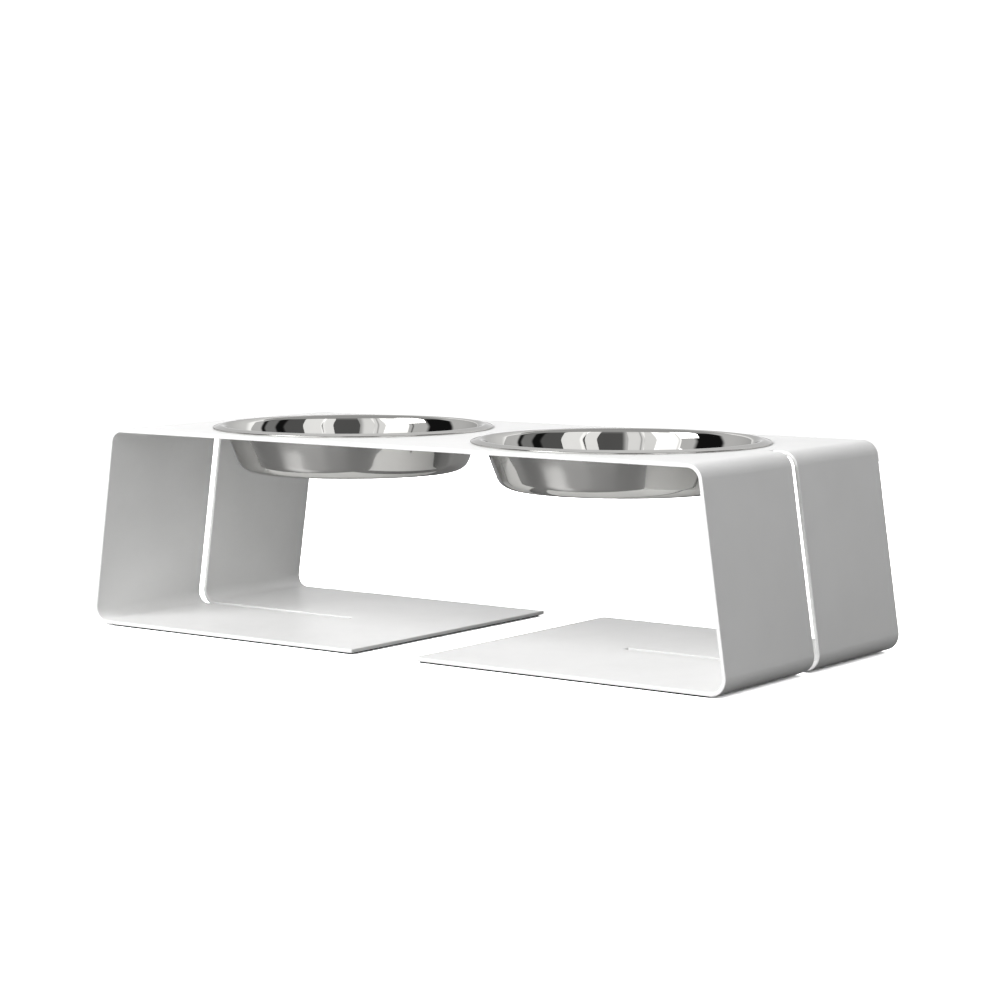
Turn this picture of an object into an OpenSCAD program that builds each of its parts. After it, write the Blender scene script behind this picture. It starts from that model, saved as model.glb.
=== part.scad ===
// Dog feeder stand: one folded sheet with a round hole for each lift-out bowl.
// Millimetres, +Z up, front towards -Y. The origin is on the floor, under the middle of the top plate.
// The sheet is one strip: foot, leg, top plate, leg, foot. A slit halves each leg and runs into
// the top plate and the foot. Each bowl hangs in its hole by its brim.

/* [Stand] */
// Height of the top plate above the floor
stand_h = 160; // [120:1:260]
// Thickness of the folded sheet
sheet_t = 3; // [2:0.1:4]
// Inside radius of the bends
bend_r = 9.5; // [5:0.5:14]
// Lean of each leg from upright, the feet spreading outwards
leg_lean = 8.4; // [0:0.1:14]
// Gap between the inner ends of the feet
foot_gap = 58; // [30:1:90]
// Radius on the inner corners of the feet
foot_corner_r = 1.5; // [0.5:0.1:4]
// Plate in front of and behind the rims
side_margin = 13; // [6:0.5:25]
// Plate from the outer edge of a rim to the plate's sharp corner
end_margin = 34.5; // [30:0.5:50]

/* [Slits] */
// Width of the slit that halves each leg
slit_w = 7.5; // [5:0.5:16]
// Reach of the slit into the top plate, from the sharp upper corner
slit_top_reach = 18.5; // [14:0.5:28]
// Reach of the slit into the foot, from the sharp lower corner
slit_foot_reach = 166; // [60:1:190]

/* [Bowls] */
// Diameter over the rim
rim_d = 226; // [180:1:260]
// Gap between the two rims
rim_gap = 32; // [16:1:60]
// Width of the sloping brim, from the crown to the hem
brim_w = 4.6; // [3:0.1:8]
// Slope of the brim, down to its edge
brim_slope = 18; // [10:0.5:24]
// Radius over the crown, where the lip rolls over into the brim
crown_r = 5; // [3:0.1:6]
// Diameter of the hemmed edge of the brim
hem_d = 1.6; // [1.2:0.1:2.4]
// Depth of the flat that seats the hem on the plate
hem_flat = 0.2; // [0.1:0.05:0.4]
// Depth of the bowl below the top plate
bowl_depth = 34.6; // [28:0.1:60]
// Thickness of the bowl's steel
bowl_t = 0.8; // [0.5:0.1:1.2]
// Lean of the bowl's wall from upright, above the base
wall_draft = 20.6; // [18:0.1:28]
// Lean at the waist, where the wall is steepest
waist_draft = 15; // [11:0.5:17]
// Lean of the lip, where it meets the crown
lip_draft = 25; // [20:0.5:35]
// Radius of the hollow from the wall up to the waist
hollow_r = 80; // [40:1:120]
// Radius of the flare from the waist up to the lip
lip_r = 30; // [15:1:40]
// Radius round the bottom of the bowl
base_r = 13; // [8:0.5:18]
// Width of the flat ring that the bowl stands on when it is put down
base_ring_w = 12; // [6:0.5:20]
// Height of the raised middle of the base
base_rise = 1; // [0.6:0.1:2]
// Gap around the lip in its hole
seat_gap = 1.2; // [0.5:0.1:2.5]

/* [Anti-slip pads] */
// Thickness of the pads under the feet
pad_t = 1.5; // [1:0.1:4]
// Margin between a pad and the edges of the foot
pad_inset = 3; // [1:0.5:8]
// Radius on the corners of the pads
pad_corner_r = 2; // [0.5:0.5:5]

/* [Hidden] */

$fn = 128;
// Angle covered by each step of a bend
arc_step = 4;
// Extra length of a cut past the face it goes through
cut_past = 1;

// Bowl places
bowl_x = (rim_d + rim_gap) / 2;

// Stand outline, measured between the sharp corners that the bends round off
sheet_h = stand_h - pad_t;
depth = rim_d + 2 * side_margin;
top_w = 2 * (rim_d + rim_gap / 2 + end_margin);
base_w = top_w + 2 * sheet_h * tan(leg_lean);
upper_turn = 90 - leg_lean;
lower_turn = 90 + leg_lean;
upper_set = (bend_r + sheet_t) * tan(upper_turn / 2);
lower_set = (bend_r + sheet_t) * tan(lower_turn / 2);
bend_mid_r = bend_r + sheet_t / 2;
foot_run = (base_w - foot_gap) / 2 - lower_set;
leg_run = sheet_h / cos(leg_lean) - upper_set - lower_set;
top_run = top_w - 2 * upper_set;

// The folded sheet from foot to foot: straight run, turn after it, radius of that turn
stand_strip = [
    [foot_run, -lower_turn, bend_mid_r],
    [leg_run, -upper_turn, bend_mid_r],
    [top_run, -upper_turn, bend_mid_r],
    [leg_run, -lower_turn, bend_mid_r],
    [foot_run, 0, 0],
];

// Bowl section, from the middle of the base out to the brim, with Z from the plate's top face
half_t = bowl_t / 2;
base_mid_r = base_r - half_t;
hollow_mid_r = hollow_r - half_t;
lip_mid_r = lip_r - half_t;
crown_mid_r = crown_r - half_t;
rise_turn = 20;
rise_r = 4;
rise_run = (base_rise - 2 * rise_r * (1 - cos(rise_turn))) / sin(rise_turn);
rise_w = 2 * rise_r * sin(rise_turn) + rise_run * cos(rise_turn);
// Short straights at the waist and under the crown
waist_run = 1;
lip_run = 0.5;

// The middle line from the hem in over the crown and down to the wall
hem_r = rim_d / 2 - hem_d / 2;
hem_z = hem_d / 2 - hem_flat;
lip_top_r = hem_r - brim_w - crown_mid_r * (sin(brim_slope) + cos(lip_draft));
lip_top_z = hem_z + brim_w * tan(brim_slope) - crown_mid_r * (cos(brim_slope) - sin(lip_draft));
waist_r = lip_top_r - lip_run * sin(lip_draft) - lip_mid_r * (cos(waist_draft) - cos(lip_draft));
waist_z = lip_top_z - lip_run * cos(lip_draft) - lip_mid_r * (sin(lip_draft) - sin(waist_draft));
wall_top_r = waist_r - waist_run * sin(waist_draft) - hollow_mid_r * (cos(waist_draft) - cos(wall_draft));
wall_top_z = waist_z - waist_run * cos(waist_draft) - hollow_mid_r * (sin(wall_draft) - sin(waist_draft));
base_z = half_t - bowl_depth;
wall_low_z = base_z + base_mid_r * (1 - sin(wall_draft));
wall_run = (wall_top_z - wall_low_z) / cos(wall_draft);
base_flat_r = wall_top_r - wall_run * sin(wall_draft) - base_mid_r * cos(wall_draft);
panel_run = base_flat_r - base_ring_w - rise_w;
brim_run = brim_w / cos(brim_slope);
hole_d = 2 * (lip_top_r + half_t * cos(lip_draft) + seat_gap);

// The pressed sheet of a bowl, in the same form as the stand's strip
bowl_strip = [
    [panel_run, -rise_turn, rise_r],
    [rise_run, rise_turn, rise_r],
    [base_ring_w, 90 - wall_draft, base_mid_r],
    [wall_run, wall_draft - waist_draft, hollow_mid_r],
    [waist_run, waist_draft - lip_draft, lip_mid_r],
    [lip_run, lip_draft - 90 - brim_slope, crown_mid_r],
    [brim_run, 0, 0],
];

// Bent strip: the middle line goes straight for each run and then round its turn, left if positive
function along(a) = [cos(a), sin(a)];
function leftward(a) = [-sin(a), cos(a)];
function heading(strip, first, i) = i == 0 ? first : heading(strip, first, i - 1) + strip[i - 1][1];
function turn_centre(strip, start, first, i) =
    let (a = heading(strip, first, i))
    run_start(strip, start, first, i) + strip[i][0] * along(a)
        + sign(strip[i][1]) * strip[i][2] * leftward(a);
function run_start(strip, start, first, i) =
    i == 0 ? start :
    turn_centre(strip, start, first, i - 1)
        - sign(strip[i - 1][1]) * strip[i - 1][2] * leftward(heading(strip, first, i));

// Points of one face of the strip, at a distance to the left of its middle line
function face(strip, start, first, aside) = [
    start + aside * leftward(first),
    for (i = [0 : len(strip) - 1])
        let (
            turn = strip[i][1],
            steps = max(1, ceil(abs(turn) / arc_step)),
            reach = aside - sign(turn) * strip[i][2]
        )
        for (k = [0 : turn == 0 ? 0 : steps])
            turn_centre(strip, start, first, i)
                + reach * leftward(heading(strip, first, i) + turn * k / steps),
];
function reversed(points) = [for (i = [len(points) - 1 : -1 : 0]) points[i]];

module bent_strip(strip, start, first, thickness) {
    left_face = face(strip, start, first, thickness / 2);
    right_face = face(strip, start, first, -thickness / 2);
    polygon(concat(right_face, reversed(left_face)));
}

module rounded_plate(size, r) {
    translate([r, 0]) square([size.x - 2 * r, size.y]);
    translate([0, r]) square([size.x, size.y - 2 * r]);
    for (x = [r, size.x - r])
        for (y = [r, size.y - r])
            translate([x, y]) circle(r);
}

// What is cut away to round a square corner that points to +X +Y
module corner_waste(r) {
    translate([-r, -r, 0])
        difference() {
            cube([r + cut_past, r + cut_past, sheet_t + 2 * cut_past]);
            translate([0, 0, -cut_past]) cylinder(h = sheet_t + 4 * cut_past, r = r);
        }
}

// Slit through one leg and both its bends, cut square at its ends, on the +X side
module slit() {
    outer_x = base_w / 2 + cut_past;
    foot_end_x = base_w / 2 - slit_foot_reach;
    top_end_x = top_w / 2 - slit_top_reach;
    // The foot and the leg
    translate([foot_end_x, -slit_w / 2, pad_t - cut_past])
        cube([outer_x - foot_end_x, slit_w, sheet_h / 2 + cut_past]);
    // The upper half of the leg and the top plate
    translate([top_end_x, -slit_w / 2, pad_t + sheet_h / 3])
        cube([outer_x - top_end_x, slit_w, sheet_h]);
}

module stand() {
    color("white")
    difference() {
        rotate([90, 0, 0])
            linear_extrude(depth, center = true)
                bent_strip(stand_strip, [-foot_gap / 2, pad_t + sheet_t / 2], 180, sheet_t);
        for (side = [-1, 1]) {
            translate([side * bowl_x, 0, stand_h - sheet_t - cut_past])
                cylinder(h = sheet_t + 2 * cut_past, d = hole_d);
            mirror([side < 0 ? 1 : 0, 0, 0]) {
                slit();
                for (end = [0, 1])
                    mirror([0, end, 0])
                        translate([foot_gap / 2, depth / 2, pad_t - cut_past])
                            mirror([1, 0, 0]) corner_waste(foot_corner_r);
            }
        }
    }
}

module bowl() {
    translate([0, 0, stand_h])
        rotate_extrude()
            difference() {
                union() {
                    bent_strip(bowl_strip, [0, base_z + base_rise], 0, bowl_t);
                    translate([hem_r, hem_z]) circle(d = hem_d);
                }
                // The hem is flat where it sits on the plate
                translate([hem_r - hem_d, -hem_d]) square([2 * hem_d, hem_d]);
            }
}

module left_bowl() {
    color("silver") translate([-bowl_x, 0, 0]) bowl();
}

module right_bowl() {
    color("silver") translate([bowl_x, 0, 0]) bowl();
}

// Pad under the flat of one foot, notched round the slit, on the +X side
module foot_pad() {
    inner_x = foot_gap / 2 + pad_inset;
    length = foot_run - 2 * pad_inset;
    width = depth - 2 * pad_inset;
    notch_x = base_w / 2 - slit_foot_reach - pad_inset;
    notch_w = slit_w + 2 * pad_inset;
    linear_extrude(pad_t)
        difference() {
            translate([inner_x, -width / 2]) rounded_plate([length, width], pad_corner_r);
            translate([notch_x, -notch_w / 2]) square([length, notch_w]);
        }
}

module left_foot_pad() {
    color("dimgray") mirror([1, 0, 0]) foot_pad();
}

module right_foot_pad() {
    color("dimgray") foot_pad();
}

stand();
left_bowl();
right_bowl();
left_foot_pad();
right_foot_pad();
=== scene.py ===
"""Looks of the dog feeder stand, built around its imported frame. Metres, in the frame's own axes."""
import math

import bmesh
import bpy
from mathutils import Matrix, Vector
from mathutils.geometry import tessellate_polygon


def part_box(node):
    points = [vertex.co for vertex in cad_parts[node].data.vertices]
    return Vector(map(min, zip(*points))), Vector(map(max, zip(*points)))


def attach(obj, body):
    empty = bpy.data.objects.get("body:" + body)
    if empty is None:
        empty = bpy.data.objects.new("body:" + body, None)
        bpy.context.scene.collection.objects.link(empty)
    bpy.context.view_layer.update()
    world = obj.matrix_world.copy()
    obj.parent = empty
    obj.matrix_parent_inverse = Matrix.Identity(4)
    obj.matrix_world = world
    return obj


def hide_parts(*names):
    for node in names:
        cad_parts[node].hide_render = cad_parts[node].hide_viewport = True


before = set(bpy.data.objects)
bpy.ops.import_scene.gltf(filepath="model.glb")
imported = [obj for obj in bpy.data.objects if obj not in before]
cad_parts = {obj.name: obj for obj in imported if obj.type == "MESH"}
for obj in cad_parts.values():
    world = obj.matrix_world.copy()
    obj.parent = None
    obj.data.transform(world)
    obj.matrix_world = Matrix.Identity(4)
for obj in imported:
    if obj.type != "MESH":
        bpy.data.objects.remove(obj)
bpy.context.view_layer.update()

MM = 0.001

# Driving sizes that the frame's boxes don't give
SHEET = 3 * MM
BEND = 9.5 * MM
LEAN = math.radians(8.4)
FOOT_GAP = 58 * MM
FOOT_CORNER = 1.5 * MM
SLIT = 7.5 * MM
SLIT_INTO_TOP = 18.5 * MM
SLIT_INTO_FOOT = 166 * MM
BRIM = 4.6 * MM
BRIM_SLOPE = math.radians(18)
CROWN = 5 * MM
HEM = 1.6 * MM
HEM_FLAT = 0.2 * MM
BOWL_STEEL = 0.8 * MM
WALL_DRAFT = math.radians(20.6)
WAIST_DRAFT = math.radians(15)
LIP_DRAFT = math.radians(25)
HOLLOW = 80 * MM
LIP = 30 * MM
WAIST_RUN = 1 * MM
LIP_RUN = 0.5 * MM
BASE_CORNER = 13 * MM
BASE_RING = 12 * MM
BASE_RISE = 1 * MM
RISE_TURN = math.radians(20)
RISE_BEND = 4 * MM
SEAT_GAP = 1.2 * MM
PAD_INSET = 3 * MM
PAD_CORNER = 2 * MM

# Fine rounding that only the looks need
COATED_EDGE = 0.6 * MM
SLIT_CORNER = 0.7 * MM
PAD_EDGE = 0.3 * MM
NOTCH_MOUTH = 2 * PAD_EDGE

# How finely shapes are divided
ARC_STEP = math.radians(3)
HEM_STEP = math.radians(9)
SECTION_STEP = 4 * MM
EDGE_STEPS = 4
CORNER_STEPS = 6
HOLE_POINTS = 256
BOWL_POINTS = 288
SHARP_ANGLE = math.radians(40)
CUT_TOLERANCE = 1e-7
ON_AXIS = 1e-9
FLAT_FACE_WEIGHT = 100

# Floor: its grey to the camera, to matt surfaces and in reflections, and the finish of the mirrored one
FLOOR_SEEN = 5
FLOOR_BOUNCED = 0.18
FLOOR_MIRRORED = 0.24
FLOOR_SATIN = 0.23
FLOOR_GLOSS = 2
FLOOR_REACH = 1.6

# Room: the white surround, the light on matt surfaces, and the ceiling that polished steel mirrors
WHITE_SURROUND = 1.1
ROOM_LIGHT = 0.285
CEILING = 0.5
CEILING_FROM, CEILING_FULL = 0.66, 0.8

# Mirrored walls as (degrees from straight behind, round by the left and the front; grey)
FULL_TURN = 360
PALE, SOFT, MID, DIM, DARK = 0.75, 0.5, 0.28, 0.13, 0.01
WALLS = (
    (0, DIM), (54, DIM), (60, PALE), (106, PALE), (110, DARK), (138, DARK), (142, PALE),
    (156.2, PALE), (156.6, DIM), (158.4, DIM), (158.8, PALE),
    (192.7, PALE), (193.1, DIM), (194.9, DIM), (195.3, PALE), (208, PALE),
    (212, DIM), (248.8, DIM), (249.2, SOFT), (252.3, SOFT), (252.7, DIM), (291, DIM),
    (293, DARK), (301, DARK), (303, MID), (314, MID), (316, DARK), (319, DARK),
    (321, PALE), (338, PALE), (344, DIM), (FULL_TURN, DIM),
)

# Soft lights as (name, azimuth, elevation, wide, tall, glow, the surfaces that see it), in degrees.
# Azimuth 0 is in front and 90 on the right. Mirrored panes stand a little nearer than the lights.
LIGHT_AWAY = 2.4
MIRRORED_AWAY = 2.38
PANELS = (
    ("left_light", -30, 34, 13, 40, 9.5, "matt"),
    ("middle_light", -8.5, 30, 19, 46, 7, "matt"),
    ("front_light", 8.5, 20, 15, 26, 6, "matt"),
    ("front_right_light", 25, 25, 7, 40, 1.8, "matt"),
    ("right_light", 75, 27, 32, 44, 1.08, "matt"),
    ("left_pane", -33.5, 42, 18, 24, 6.5, "glossy"),
    ("middle_pane", -10.25, 27, 22.5, 46, 1.1, "glossy"),
    ("right_inner_pane", 6.25, 27, 13.5, 46, 0.4, "glossy"),
    ("right_pane", 21.75, 27, 13.5, 46, 0.4, "glossy"),
    ("right_wall_front", 64, 27, 10, 44, 1.15, "glossy"),
    ("right_wall", 81.75, 27, 18.5, 44, 1.15, "glossy"),
    ("back_wall", -161, 20, 78, 58, 0.9, "both"),
)

# Camera at the photo's angle: place, degrees that it dips and is turned, film width and lens in mm
CAMERA_PLACE = (1.20833, -1.63430, 0.3162)
CAMERA_DIP, CAMERA_TURN = 5.83, 36.09
FILM, LENS = 36, 94.43

# Places from the frame
stand_lo, stand_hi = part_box("stand")
bowl_lo, bowl_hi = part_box("right_bowl")
pad_lo, pad_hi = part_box("right_foot_pad")
pad_t = pad_hi.z
stand_h = stand_hi.z
depth = stand_hi.y - stand_lo.y
rim_d = bowl_hi.x - bowl_lo.x
bowl_x = (bowl_lo.x + bowl_hi.x) / 2
bowl_depth = stand_h - bowl_lo.z

# The stand between the sharp corners that its bends round off
sheet_h = stand_h - pad_t
upper_turn = math.pi / 2 - LEAN
lower_turn = math.pi / 2 + LEAN
upper_set = (BEND + SHEET) * math.tan(upper_turn / 2)
lower_set = (BEND + SHEET) * math.tan(lower_turn / 2)
base_half = stand_hi.x + lower_set - BEND - SHEET
top_half = base_half - sheet_h * math.tan(LEAN)
bend_mid = BEND + SHEET / 2
foot_run = base_half - FOOT_GAP / 2 - lower_set
leg_run = sheet_h / math.cos(LEAN) - upper_set - lower_set
top_run = 2 * (top_half - upper_set)
stand_strip = [
    (foot_run, -lower_turn, bend_mid),
    (leg_run, -upper_turn, bend_mid),
    (top_run, -upper_turn, bend_mid),
    (leg_run, -lower_turn, bend_mid),
    (foot_run, 0, 0),
]

# Stretches that other shapes start from: the top plate in the stand's strip, and the lip in a bowl's
TOP_STRETCH = 4
LIP_STRETCH = -3


def along(angle):
    return Vector((math.cos(angle), math.sin(angle)))


def leftward(angle):
    return Vector((-math.sin(angle), math.cos(angle)))


def stretches(strip, start, first):
    """Runs and bends of a strip in turn.

    Each is the distance where it begins, its length, place and heading, and its radius to the left."""
    found, place, heading, done = [], Vector(start), first, 0.0
    for run, turn, radius in strip:
        found.append((done, run, place, heading, 0.0))
        place = place + run * along(heading)
        done += run
        if turn:
            bend = math.copysign(radius, turn)
            found.append((done, abs(turn) * radius, place, heading, bend))
            centre = place + bend * leftward(heading)
            heading += turn
            place = centre - bend * leftward(heading)
            done += abs(turn) * radius
    return found


def on_strip(way, distance, aside):
    """Point at a distance along a strip and to the left of its middle line."""
    begin, _, place, heading, bend = [w for w in way if w[0] <= max(distance, 0.0)][-1]
    if bend == 0:
        return place + (distance - begin) * along(heading) + aside * leftward(heading)
    centre = place + bend * leftward(heading)
    return centre + (aside - bend) * leftward(heading + (distance - begin) / bend)


def bend_stations(way):
    """Distances along a strip at which its bends are divided."""
    found = []
    for begin, length, _, _, bend in way:
        if bend:
            count = math.ceil(length / abs(bend) / ARC_STEP)
            found += [begin + length * k / count for k in range(count + 1)]
    return found


def filleted(corners):
    """Closed outline through square corners (x, y, radius), each rounded off."""
    points = []
    for i, (x, y, r) in enumerate(corners):
        here = Vector((x, y))
        back = (Vector(corners[i - 1][:2]) - here).normalized()
        on = (Vector(corners[(i + 1) % len(corners)][:2]) - here).normalized()
        centre = here + r * (back + on)
        for k in range(CORNER_STEPS + 1):
            a = math.pi / 2 * k / CORNER_STEPS
            points.append(centre - r * (on * math.cos(a) + back * math.sin(a)))
    return points


def box_outline(x0, x1, y0, y1, r):
    return filleted([(x0, y0, r), (x1, y0, r), (x1, y1, r), (x0, y1, r)])


def circle_outline(x, y, r):
    turn = 2 * math.pi / HOLE_POINTS
    return [Vector((x, y)) + r * along(turn * k) for k in range(HOLE_POINTS)]


def rounded_plate(outlines, thickness, edge):
    """Plate with rounded edges.

    Each outline gives its points for a distance set into the plate, and the first is the outer one."""
    quarter = [math.pi / 2 * k / EDGE_STEPS for k in range(EDGE_STEPS + 1)]
    upper = [
        (edge * (1 - math.cos(a)), thickness / 2 - edge + edge * math.sin(a))
        for a in reversed(quarter)
    ]
    rings = upper + [(inset, -z) for inset, z in reversed(upper)]
    bm = bmesh.new()
    faces = ([], [])
    for outline in outlines:
        loops = [[bm.verts.new((p.x, p.y, z)) for p in outline(inset)] for inset, z in rings]
        for one, two in zip(loops, loops[1:]):
            for k in range(len(one)):
                bm.faces.new((one[k - 1], one[k], two[k], two[k - 1]))
        faces[0].append(loops[0])
        faces[1].append(loops[-1])
    for loops in faces:
        flat = [v for loop in loops for v in loop]
        for three in tessellate_polygon([[v.co for v in loop] for loop in loops]):
            bm.faces.new([flat[i] for i in three])
    return bm


def smooth_piece(bm, name):
    """Object of a closed mesh, shaded smooth."""
    bmesh.ops.recalc_face_normals(bm, faces=bm.faces)
    mesh = bpy.data.meshes.new(name)
    bm.to_mesh(mesh)
    bm.free()
    mesh.shade_smooth()
    piece = bpy.data.objects.new(name, mesh)
    bpy.context.scene.collection.objects.link(piece)
    return piece


def plate_piece(bm, name):
    """Object of a rounded plate, with its flat faces kept flat."""
    piece = smooth_piece(bm, name)
    even = piece.modifiers.new("flat faces stay flat", "WEIGHTED_NORMAL")
    even.mode = "FACE_AREA"
    even.weight = FLAT_FACE_WEIGHT
    return piece


def folded_stand():
    """The stand as it is made: a flat blank with its holes and slits, then folded along its bends."""
    way = stretches(stand_strip, (-FOOT_GAP / 2, pad_t + SHEET / 2), math.pi)
    length = way[-1][0] + way[-1][1]
    slit_from = base_half - SLIT_INTO_FOOT - FOOT_GAP / 2
    slit_to = way[TOP_STRETCH][0] + SLIT_INTO_TOP - upper_set
    lip = bowl_way()[LIP_STRETCH]
    hole_r = on_strip([lip], lip[0] + lip[1], -BOWL_STEEL / 2).x + SEAT_GAP

    def slit(x0, x1):
        return lambda d: box_outline(x0 - d, x1 + d, -SLIT / 2 - d, SLIT / 2 + d, SLIT_CORNER + d)

    def hole(x):
        return lambda d: circle_outline(x, 0, hole_r + d)

    def blank(d):
        return box_outline(d, length - d, d - depth / 2, depth / 2 - d, FOOT_CORNER - d)

    middle = length / 2
    outlines = [blank, hole(middle - bowl_x), hole(middle + bowl_x)]
    outlines += [slit(slit_from, slit_to), slit(length - slit_to, length - slit_from)]
    bm = rounded_plate(outlines, SHEET, COATED_EDGE)
    for s in bend_stations(way):
        everything = bm.verts[:] + bm.edges[:] + bm.faces[:]
        bmesh.ops.bisect_plane(
            bm, geom=everything, dist=CUT_TOLERANCE, plane_co=(s, 0, 0), plane_no=(1, 0, 0))
    for v in bm.verts:
        place = on_strip(way, v.co.x, v.co.z)
        v.co = (place.x, v.co.y, place.y)
    return plate_piece(bm, "folded_stand")


def bowl_way():
    """The pressed sheet of a bowl from the middle of its base to its brim.

    Heights are from the top face of the stand's plate."""
    half = BOWL_STEEL / 2
    base_mid, hollow_mid = BASE_CORNER - half, HOLLOW - half
    lip_mid, crown_mid = LIP - half, CROWN - half
    rise_bends = 2 * RISE_BEND * (1 - math.cos(RISE_TURN))
    rise_run = (BASE_RISE - rise_bends) / math.sin(RISE_TURN)
    rise_w = 2 * RISE_BEND * math.sin(RISE_TURN) + rise_run * math.cos(RISE_TURN)
    base_z = half - bowl_depth
    # From the hem in over the crown and down to the wall, as (radius, height)
    place = Vector((rim_d / 2 - HEM / 2, HEM / 2 - HEM_FLAT))
    place += Vector((-BRIM, BRIM * math.tan(BRIM_SLOPE)))
    for radius, upper, lower, run in (
        (-crown_mid, math.pi / 2 + BRIM_SLOPE, LIP_DRAFT, LIP_RUN),
        (-lip_mid, LIP_DRAFT, WAIST_DRAFT, WAIST_RUN),
        (hollow_mid, WAIST_DRAFT, WALL_DRAFT, 0),
    ):
        to, back = (math.cos(lower), math.sin(upper)), (math.cos(upper), math.sin(lower))
        place += radius * (Vector(to) - Vector(back))
        place -= run * Vector((math.sin(lower), math.cos(lower)))
    wall_h = place.y - base_z - base_mid * (1 - math.sin(WALL_DRAFT))
    wall_run = wall_h / math.cos(WALL_DRAFT)
    base_flat = place.x - wall_run * math.sin(WALL_DRAFT) - base_mid * math.cos(WALL_DRAFT)
    strip = [
        (base_flat - BASE_RING - rise_w, -RISE_TURN, RISE_BEND),
        (rise_run, RISE_TURN, RISE_BEND),
        (BASE_RING, math.pi / 2 - WALL_DRAFT, base_mid),
        (wall_run, WALL_DRAFT - WAIST_DRAFT, hollow_mid),
        (WAIST_RUN, WAIST_DRAFT - LIP_DRAFT, lip_mid),
        (LIP_RUN, LIP_DRAFT - math.pi / 2 - BRIM_SLOPE, crown_mid),
        (BRIM / math.cos(BRIM_SLOPE), 0, 0),
    ]
    return stretches(strip, (0, base_z + BASE_RISE), 0.0)


def bowl_section():
    """Closed section of a bowl as (radius, height) points: up the inside, the hem, back under it."""
    way = bowl_way()
    half = BOWL_STEEL / 2
    total = way[-1][0] + way[-1][1]
    neck = math.sqrt((HEM / 2) ** 2 - half ** 2)
    stations = [0.0]
    for begin, length, _, _, bend in way:
        step = abs(bend) * ARC_STEP if bend else SECTION_STEP
        end = length - (neck if begin + length == total else 0)
        count = max(1, math.ceil(end / step))
        stations += [begin + end * k / count for k in range(1, count + 1)]
    inside = [on_strip(way, s, half) for s in stations]
    outside = [on_strip(way, s, -half) for s in stations]
    centre = on_strip(way, total, 0)

    def bearing(p):
        return math.atan2(p.y - centre.y, p.x - centre.x)

    seat = math.asin(-centre.y / (HEM / 2))
    first, last = bearing(inside[-1]), bearing(outside[-1]) - 2 * math.pi
    hem = []
    for start, stop in ((first, seat), (-math.pi - seat, last)):
        count = math.ceil(abs(stop - start) / HEM_STEP)
        turns = [start + (stop - start) * k / count for k in range(count + 1)]
        hem += [centre + HEM / 2 * along(turn) for turn in turns]
    return inside, hem[1:-1], outside


def pressed_bowl(name, x):
    """Bowl turned from its section. How far each point lies along it is kept for the polish."""
    inside, hem, outside = bowl_section()
    section = inside + hem + outside[::-1]
    reach = [0.0]
    for one, two in zip(section, section[1:]):
        reach.append(reach[-1] + (two - one).length)
    bm = bmesh.new()
    layer = bm.verts.layers.float.new("along_section")
    turn = 2 * math.pi / BOWL_POINTS
    rings = []
    for p, far in zip(section, reach):
        around = range(1 if p.x < ON_AXIS else BOWL_POINTS)
        ring = [
            bm.verts.new((p.x * math.cos(turn * k), p.x * math.sin(turn * k), p.y))
            for k in around
        ]
        for v in ring:
            v[layer] = far
        rings.append(ring)
    for i, (one, two) in enumerate(zip(rings, rings[1:])):
        for k in range(BOWL_POINTS):
            # A ring on the axis is a single point, and its faces have three corners
            corners = dict.fromkeys((
                one[(k - 1) % len(one)], one[k % len(one)],
                two[k % len(two)], two[(k - 1) % len(two)],
            ))
            face = bm.faces.new(list(corners))
            face.material_index = 0 if i < len(inside) + len(hem) else 1
    piece = smooth_piece(bm, name)
    piece.data.set_sharp_from_angle(angle=SHARP_ANGLE)
    piece.location = (x, 0, stand_h)
    return piece


def grip_pad(name, side):
    """Pad under one foot, notched round the slit."""
    x0, x1 = pad_lo.x, pad_hi.x
    y0, y1 = pad_lo.y, pad_hi.y
    notch_x = base_half - SLIT_INTO_FOOT - PAD_INSET
    notch_y = SLIT / 2 + PAD_INSET

    def outline(d):
        out, mouth, inner = PAD_CORNER - d, NOTCH_MOUTH - d, PAD_EDGE + d
        points = [
            (x0 + d, y0 + d, out), (x1 - d, y0 + d, out),
            (x1 - d, -notch_y - d, mouth), (notch_x - d, -notch_y - d, inner),
            (notch_x - d, notch_y + d, inner), (x1 - d, notch_y + d, mouth),
            (x1 - d, y1 - d, out), (x0 + d, y1 - d, out),
        ]
        return [Vector((side * p.x, p.y)) for p in filleted(points)]

    piece = plate_piece(rounded_plate([outline], pad_t, PAD_EDGE), name)
    piece.location = (0, 0, pad_t / 2)
    return piece


def grey(tone):
    return (tone, tone, tone, 1)


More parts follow.
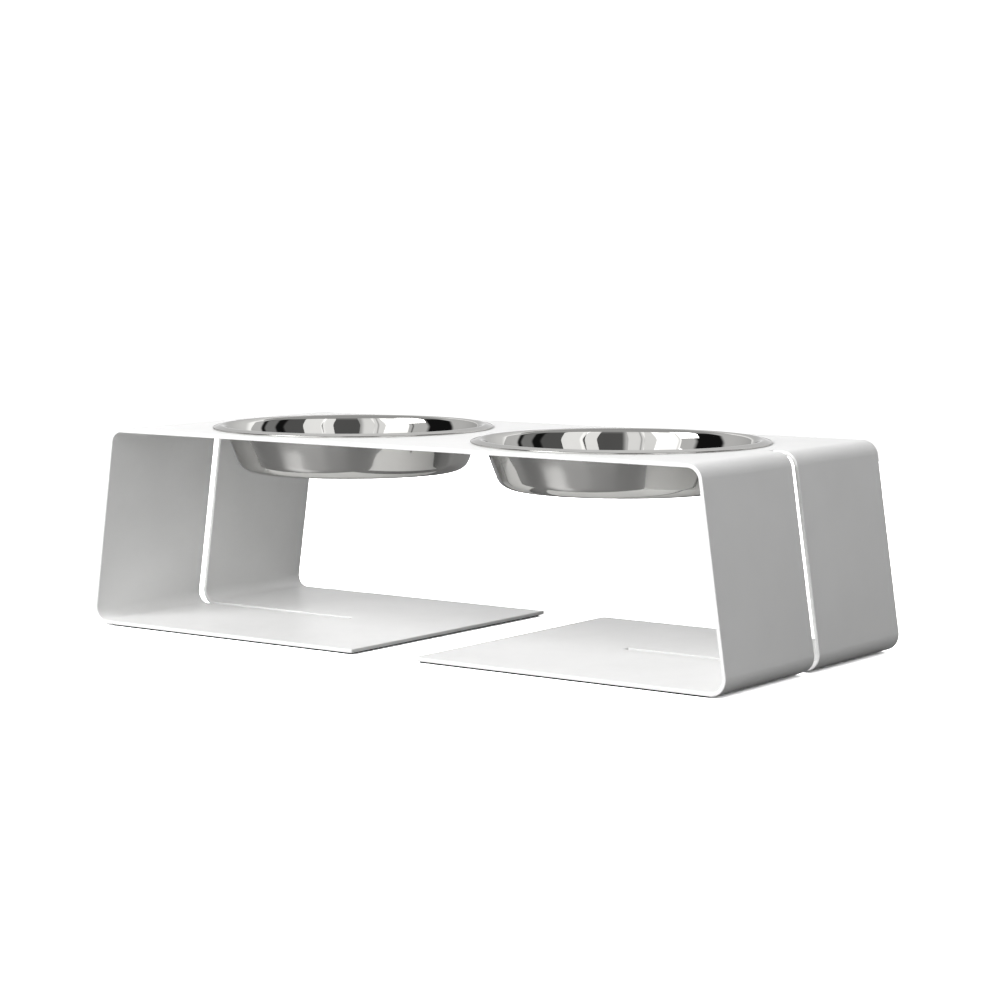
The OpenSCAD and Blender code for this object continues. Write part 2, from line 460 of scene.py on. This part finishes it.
class Nodes:
    """Short way to add and join the nodes of a material or world."""

    def __init__(self, tree):
        self.tree = tree

    def add(self, kind, label, **values):
        node = self.tree.nodes.new(kind)
        node.label = label
        for key, value in values.items():
            setattr(node, key, value)
        return node

    def join(self, out, into):
        self.tree.links.new(out, into)

    def noise(self, label, vector, scale, detail, dimensions="3D"):
        node = self.add("ShaderNodeTexNoise", label, noise_dimensions=dimensions)
        node.inputs["Scale"].default_value = scale
        node.inputs["Detail"].default_value = detail
        self.join(vector, node.inputs["W" if dimensions == "1D" else "Vector"])
        return node.outputs["Fac"]

    def spread(self, label, value, low, high, lowest=0.3, highest=0.7):
        node = self.add("ShaderNodeMapRange", label)
        ends = {"From Min": lowest, "From Max": highest, "To Min": low, "To Max": high}
        for key, number in ends.items():
            node.inputs[key].default_value = number
        self.join(value, node.inputs["Value"])
        return node.outputs["Result"]

    def shades(self, label, value, dark, light, lowest=0.3, highest=0.7):
        node = self.add("ShaderNodeValToRGB", label)
        ends = node.color_ramp.elements
        ends[0].position, ends[1].position = lowest, highest
        ends[0].color, ends[1].color = (*dark, 1), (*light, 1)
        self.join(value, node.inputs["Fac"])
        return node.outputs["Color"]

    def bump(self, label, height, distance, strength, under=None):
        node = self.add("ShaderNodeBump", label)
        node.inputs["Distance"].default_value = distance
        node.inputs["Strength"].default_value = strength
        self.join(height, node.inputs["Height"])
        if under is not None:
            self.join(under, node.inputs["Normal"])
        return node.outputs["Normal"]

    def by_ray(self, ray, chosen, other):
        """One shader for one kind of ray, and another for the rest."""
        choice = self.add("ShaderNodeMixShader", "chosen by ray")
        kind = self.add("ShaderNodeLightPath", "kind of ray")
        self.join(kind.outputs[ray], choice.inputs["Fac"])
        self.join(other, choice.inputs[1])
        self.join(chosen, choice.inputs[2])
        return choice.outputs["Shader"]


def new_material(name):
    """Material with an empty tree but for its surface, and the place of each point on its piece."""
    material = bpy.data.materials.new(name)
    material.use_nodes = True
    nodes = Nodes(material.node_tree)
    surface = material.node_tree.nodes["Principled BSDF"]
    place = nodes.add("ShaderNodeTexCoord", "place on the piece").outputs["Object"]
    return material, nodes, surface, place


def powder_coat():
    """Satin white powder coat: fine orange peel, faint clouding of shade and gloss."""
    material, nodes, surface, place = new_material("powder_coat")
    cloud = nodes.noise("cloud", place, scale=18, detail=2)
    white = nodes.shades("white", cloud, dark=(0.825, 0.825, 0.82), light=(0.855, 0.855, 0.85))
    nodes.join(white, surface.inputs["Base Color"])
    gloss = nodes.noise("gloss", place, scale=120, detail=3)
    satin = nodes.spread("satin", gloss, low=0.36, high=0.46)
    nodes.join(satin, surface.inputs["Roughness"])
    peel = nodes.noise("orange peel", place, scale=700, detail=2)
    grain = nodes.noise("powder grain", place, scale=3200, detail=1)
    normal = nodes.bump("peel relief", peel, distance=0.05 * MM, strength=0.25)
    normal = nodes.bump("grain relief", grain, distance=0.01 * MM, strength=0.25, under=normal)
    nodes.join(normal, surface.inputs["Normal"])
    return material


def polished_steel(name, smooth, dull):
    """Polished stainless steel with fine rings from its polishing."""
    material, nodes, surface, place = new_material(name)
    surface.inputs["Metallic"].default_value = 1.0
    surface.inputs["Specular Tint"].default_value = grey(0.62)
    far = nodes.add("ShaderNodeAttribute", "along the section", attribute_name="along_section")
    smear = nodes.noise("smear", place, scale=30, detail=3)
    steel = nodes.shades("steel", smear, dark=(0.56, 0.555, 0.54), light=(0.60, 0.595, 0.58))
    nodes.join(steel, surface.inputs["Base Color"])
    rings = nodes.noise("polishing rings", far.outputs["Fac"], scale=2600, detail=3, dimensions="1D")
    nodes.join(nodes.spread("polish", rings, low=smooth, high=dull), surface.inputs["Roughness"])
    normal = nodes.bump("ring relief", rings, distance=0.004 * MM, strength=0.15)
    nodes.join(normal, surface.inputs["Normal"])
    return material


def pad_rubber():
    """Matt dark rubber with a fine, closed grain."""
    material, nodes, surface, place = new_material("pad_rubber")
    patch = nodes.noise("patch", place, scale=90, detail=3)
    black = nodes.shades("black", patch, dark=(0.055, 0.055, 0.056), light=(0.085, 0.085, 0.086))
    nodes.join(black, surface.inputs["Base Color"])
    nodes.join(nodes.spread("matt", patch, low=0.78, high=0.92), surface.inputs["Roughness"])
    grain = nodes.noise("grain", place, scale=1800, detail=2)
    normal = nodes.bump("grain relief", grain, distance=0.06 * MM, strength=0.5)
    nodes.join(normal, surface.inputs["Normal"])
    return material


def pale_floor():
    """White floor, exposed until only contact shadows are left on it.

    The bowls mirror a satin grey one, and the stand is lit from below by a matt grey one."""
    mesh = bpy.data.meshes.new("floor")
    square = ((-1, -1), (1, -1), (1, 1), (-1, 1))
    mesh.from_pydata([(FLOOR_REACH * x, FLOOR_REACH * y, 0) for x, y in square], [], [(0, 1, 2, 3)])
    floor = bpy.data.objects.new("floor", mesh)
    bpy.context.scene.collection.objects.link(floor)
    material = bpy.data.materials.new("pale_floor")
    material.use_nodes = True
    nodes = Nodes(material.node_tree)
    mirrored = material.node_tree.nodes["Principled BSDF"]
    mirrored.inputs["Base Color"].default_value = grey(FLOOR_MIRRORED)
    mirrored.inputs["Roughness"].default_value = FLOOR_SATIN
    mirrored.inputs["IOR"].default_value = FLOOR_GLOSS
    seen = nodes.add("ShaderNodeBsdfDiffuse", "seen floor")
    seen.inputs["Color"].default_value = grey(FLOOR_SEEN)
    bounced = nodes.add("ShaderNodeBsdfDiffuse", "floor that lights the stand")
    bounced.inputs["Color"].default_value = grey(FLOOR_BOUNCED)
    unseen = nodes.by_ray("Is Glossy Ray", mirrored.outputs["BSDF"], bounced.outputs["BSDF"])
    surface = nodes.by_ray("Is Camera Ray", seen.outputs["BSDF"], unseen)
    nodes.join(surface, material.node_tree.nodes["Material Output"].inputs["Surface"])
    mesh.materials.append(material)


def mirrored_room(nodes):
    """Light walls with a few dark places round the stand, under a pale ceiling."""
    direction = nodes.add("ShaderNodeMapping", "front counted positive")
    direction.inputs["Scale"].default_value = (1, -1, 1)
    plain = nodes.add("ShaderNodeTexCoord", "direction").outputs["Generated"]
    nodes.join(plain, direction.inputs["Vector"])
    axes = nodes.add("ShaderNodeSeparateXYZ", "direction by axis")
    nodes.join(direction.outputs["Vector"], axes.inputs["Vector"])
    bearing = nodes.add("ShaderNodeMath", "azimuth, 0 in front", operation="ARCTAN2")
    nodes.join(axes.outputs["X"], bearing.inputs[0])
    nodes.join(axes.outputs["Y"], bearing.inputs[1])
    turn = nodes.spread("share of a turn", bearing.outputs["Value"], 0, 1, -math.pi, math.pi)
    walls = nodes.add("ShaderNodeValToRGB", "walls")
    stops = walls.color_ramp.elements
    for azimuth, tone in WALLS[1:-1]:
        stops.new(azimuth / FULL_TURN).color = grey(tone)
    for stop, (_, tone) in ((stops[0], WALLS[0]), (stops[-1], WALLS[-1])):
        stop.color = grey(tone)
    nodes.join(turn, walls.inputs["Fac"])
    room = nodes.add("ShaderNodeMix", "walls or ceiling", data_type="RGBA")
    height = nodes.spread("height", axes.outputs["Z"], 0, 1, CEILING_FROM, CEILING_FULL)
    nodes.join(height, room.inputs["Factor"])
    nodes.join(walls.outputs["Color"], room.inputs["A"])
    room.inputs["B"].default_value = grey(CEILING)
    return room.outputs["Result"]


def studio():
    """White surround for the camera, soft grey light for matt surfaces, and a room for reflections."""
    world = bpy.data.worlds.new("studio")
    bpy.context.scene.world = world
    world.use_nodes = True
    nodes = Nodes(world.node_tree)
    labels = ("cleared to white", "mirrored room", "soft grey")
    shades = [nodes.add("ShaderNodeBackground", label) for label in labels]
    for shader, strength in zip(shades, (WHITE_SURROUND, 1, ROOM_LIGHT)):
        shader.inputs["Color"].default_value = grey(1)
        shader.inputs["Strength"].default_value = strength
    nodes.join(mirrored_room(nodes), shades[1].inputs["Color"])
    white, room, soft = [shader.outputs["Background"] for shader in shades]
    unseen = nodes.by_ray("Is Glossy Ray", room, soft)
    surround = nodes.by_ray("Is Camera Ray", white, unseen)
    nodes.join(surround, world.node_tree.nodes["World Output"].inputs["Surface"])


def soft_panel(name, azimuth, elevation, wide, tall, glow, seen_by):
    """Soft light that fills the given angles as the stand sees it."""
    turn, rise = math.radians(azimuth), math.radians(elevation)
    level = math.cos(rise)
    toward = Vector((math.sin(turn) * level, -math.cos(turn) * level, math.sin(rise)))
    away = MIRRORED_AWAY if seen_by == "glossy" else LIGHT_AWAY
    lamp = bpy.data.lights.new(name, "AREA")
    lamp.shape = "RECTANGLE"
    lamp.size = 2 * away * math.tan(math.radians(wide / 2))
    lamp.size_y = 2 * away * math.tan(math.radians(tall / 2))
    lamp.energy = math.pi * lamp.size * lamp.size_y * glow
    light = bpy.data.objects.new(name, lamp)
    light.location = Vector((0, 0, stand_h)) + away * toward
    light.rotation_euler = (-toward).to_track_quat("-Z", "Y").to_euler()
    light.visible_camera = False
    light.visible_diffuse = seen_by != "glossy"
    light.visible_glossy = seen_by != "matt"
    bpy.context.scene.collection.objects.link(light)


# The pieces, each in place of its CAD node
coat, rubber = powder_coat(), pad_rubber()
mirror = polished_steel("polished_inside", smooth=0.012, dull=0.035)
satin = polished_steel("polished_outside", smooth=0.05, dull=0.10)
stand = folded_stand()
left_bowl = pressed_bowl("left_pressed_bowl", -bowl_x)
right_bowl = pressed_bowl("right_pressed_bowl", bowl_x)
left_pad = grip_pad("left_grip_pad", -1)
right_pad = grip_pad("right_grip_pad", 1)
for piece, node, body, slot, surfaces in (
    (stand, "stand", "stand", "powder_coat", (coat,)),
    (left_bowl, "left_bowl", "left_bowl", "polished_steel", (mirror, satin)),
    (right_bowl, "right_bowl", "right_bowl", "polished_steel", (mirror, satin)),
    (left_pad, "left_foot_pad", "stand", "pad_rubber", (rubber,)),
    (right_pad, "right_foot_pad", "stand", "pad_rubber", (rubber,)),
):
    for surface in surfaces:
        piece.data.materials.append(surface)
    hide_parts(node)
    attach(piece, body)

# The studio round them
pale_floor()
studio()
for panel in PANELS:
    soft_panel(*panel)

camera_data = bpy.data.cameras.new("camera")
camera_data.sensor_width, camera_data.lens = FILM, LENS
camera = bpy.data.objects.new("camera", camera_data)
camera.location = CAMERA_PLACE
camera.rotation_euler = (math.radians(90 - CAMERA_DIP), 0, math.radians(CAMERA_TURN))
bpy.context.scene.collection.objects.link(camera)
bpy.context.scene.camera = camera
bpy.context.scene.view_settings.view_transform = "Standard"
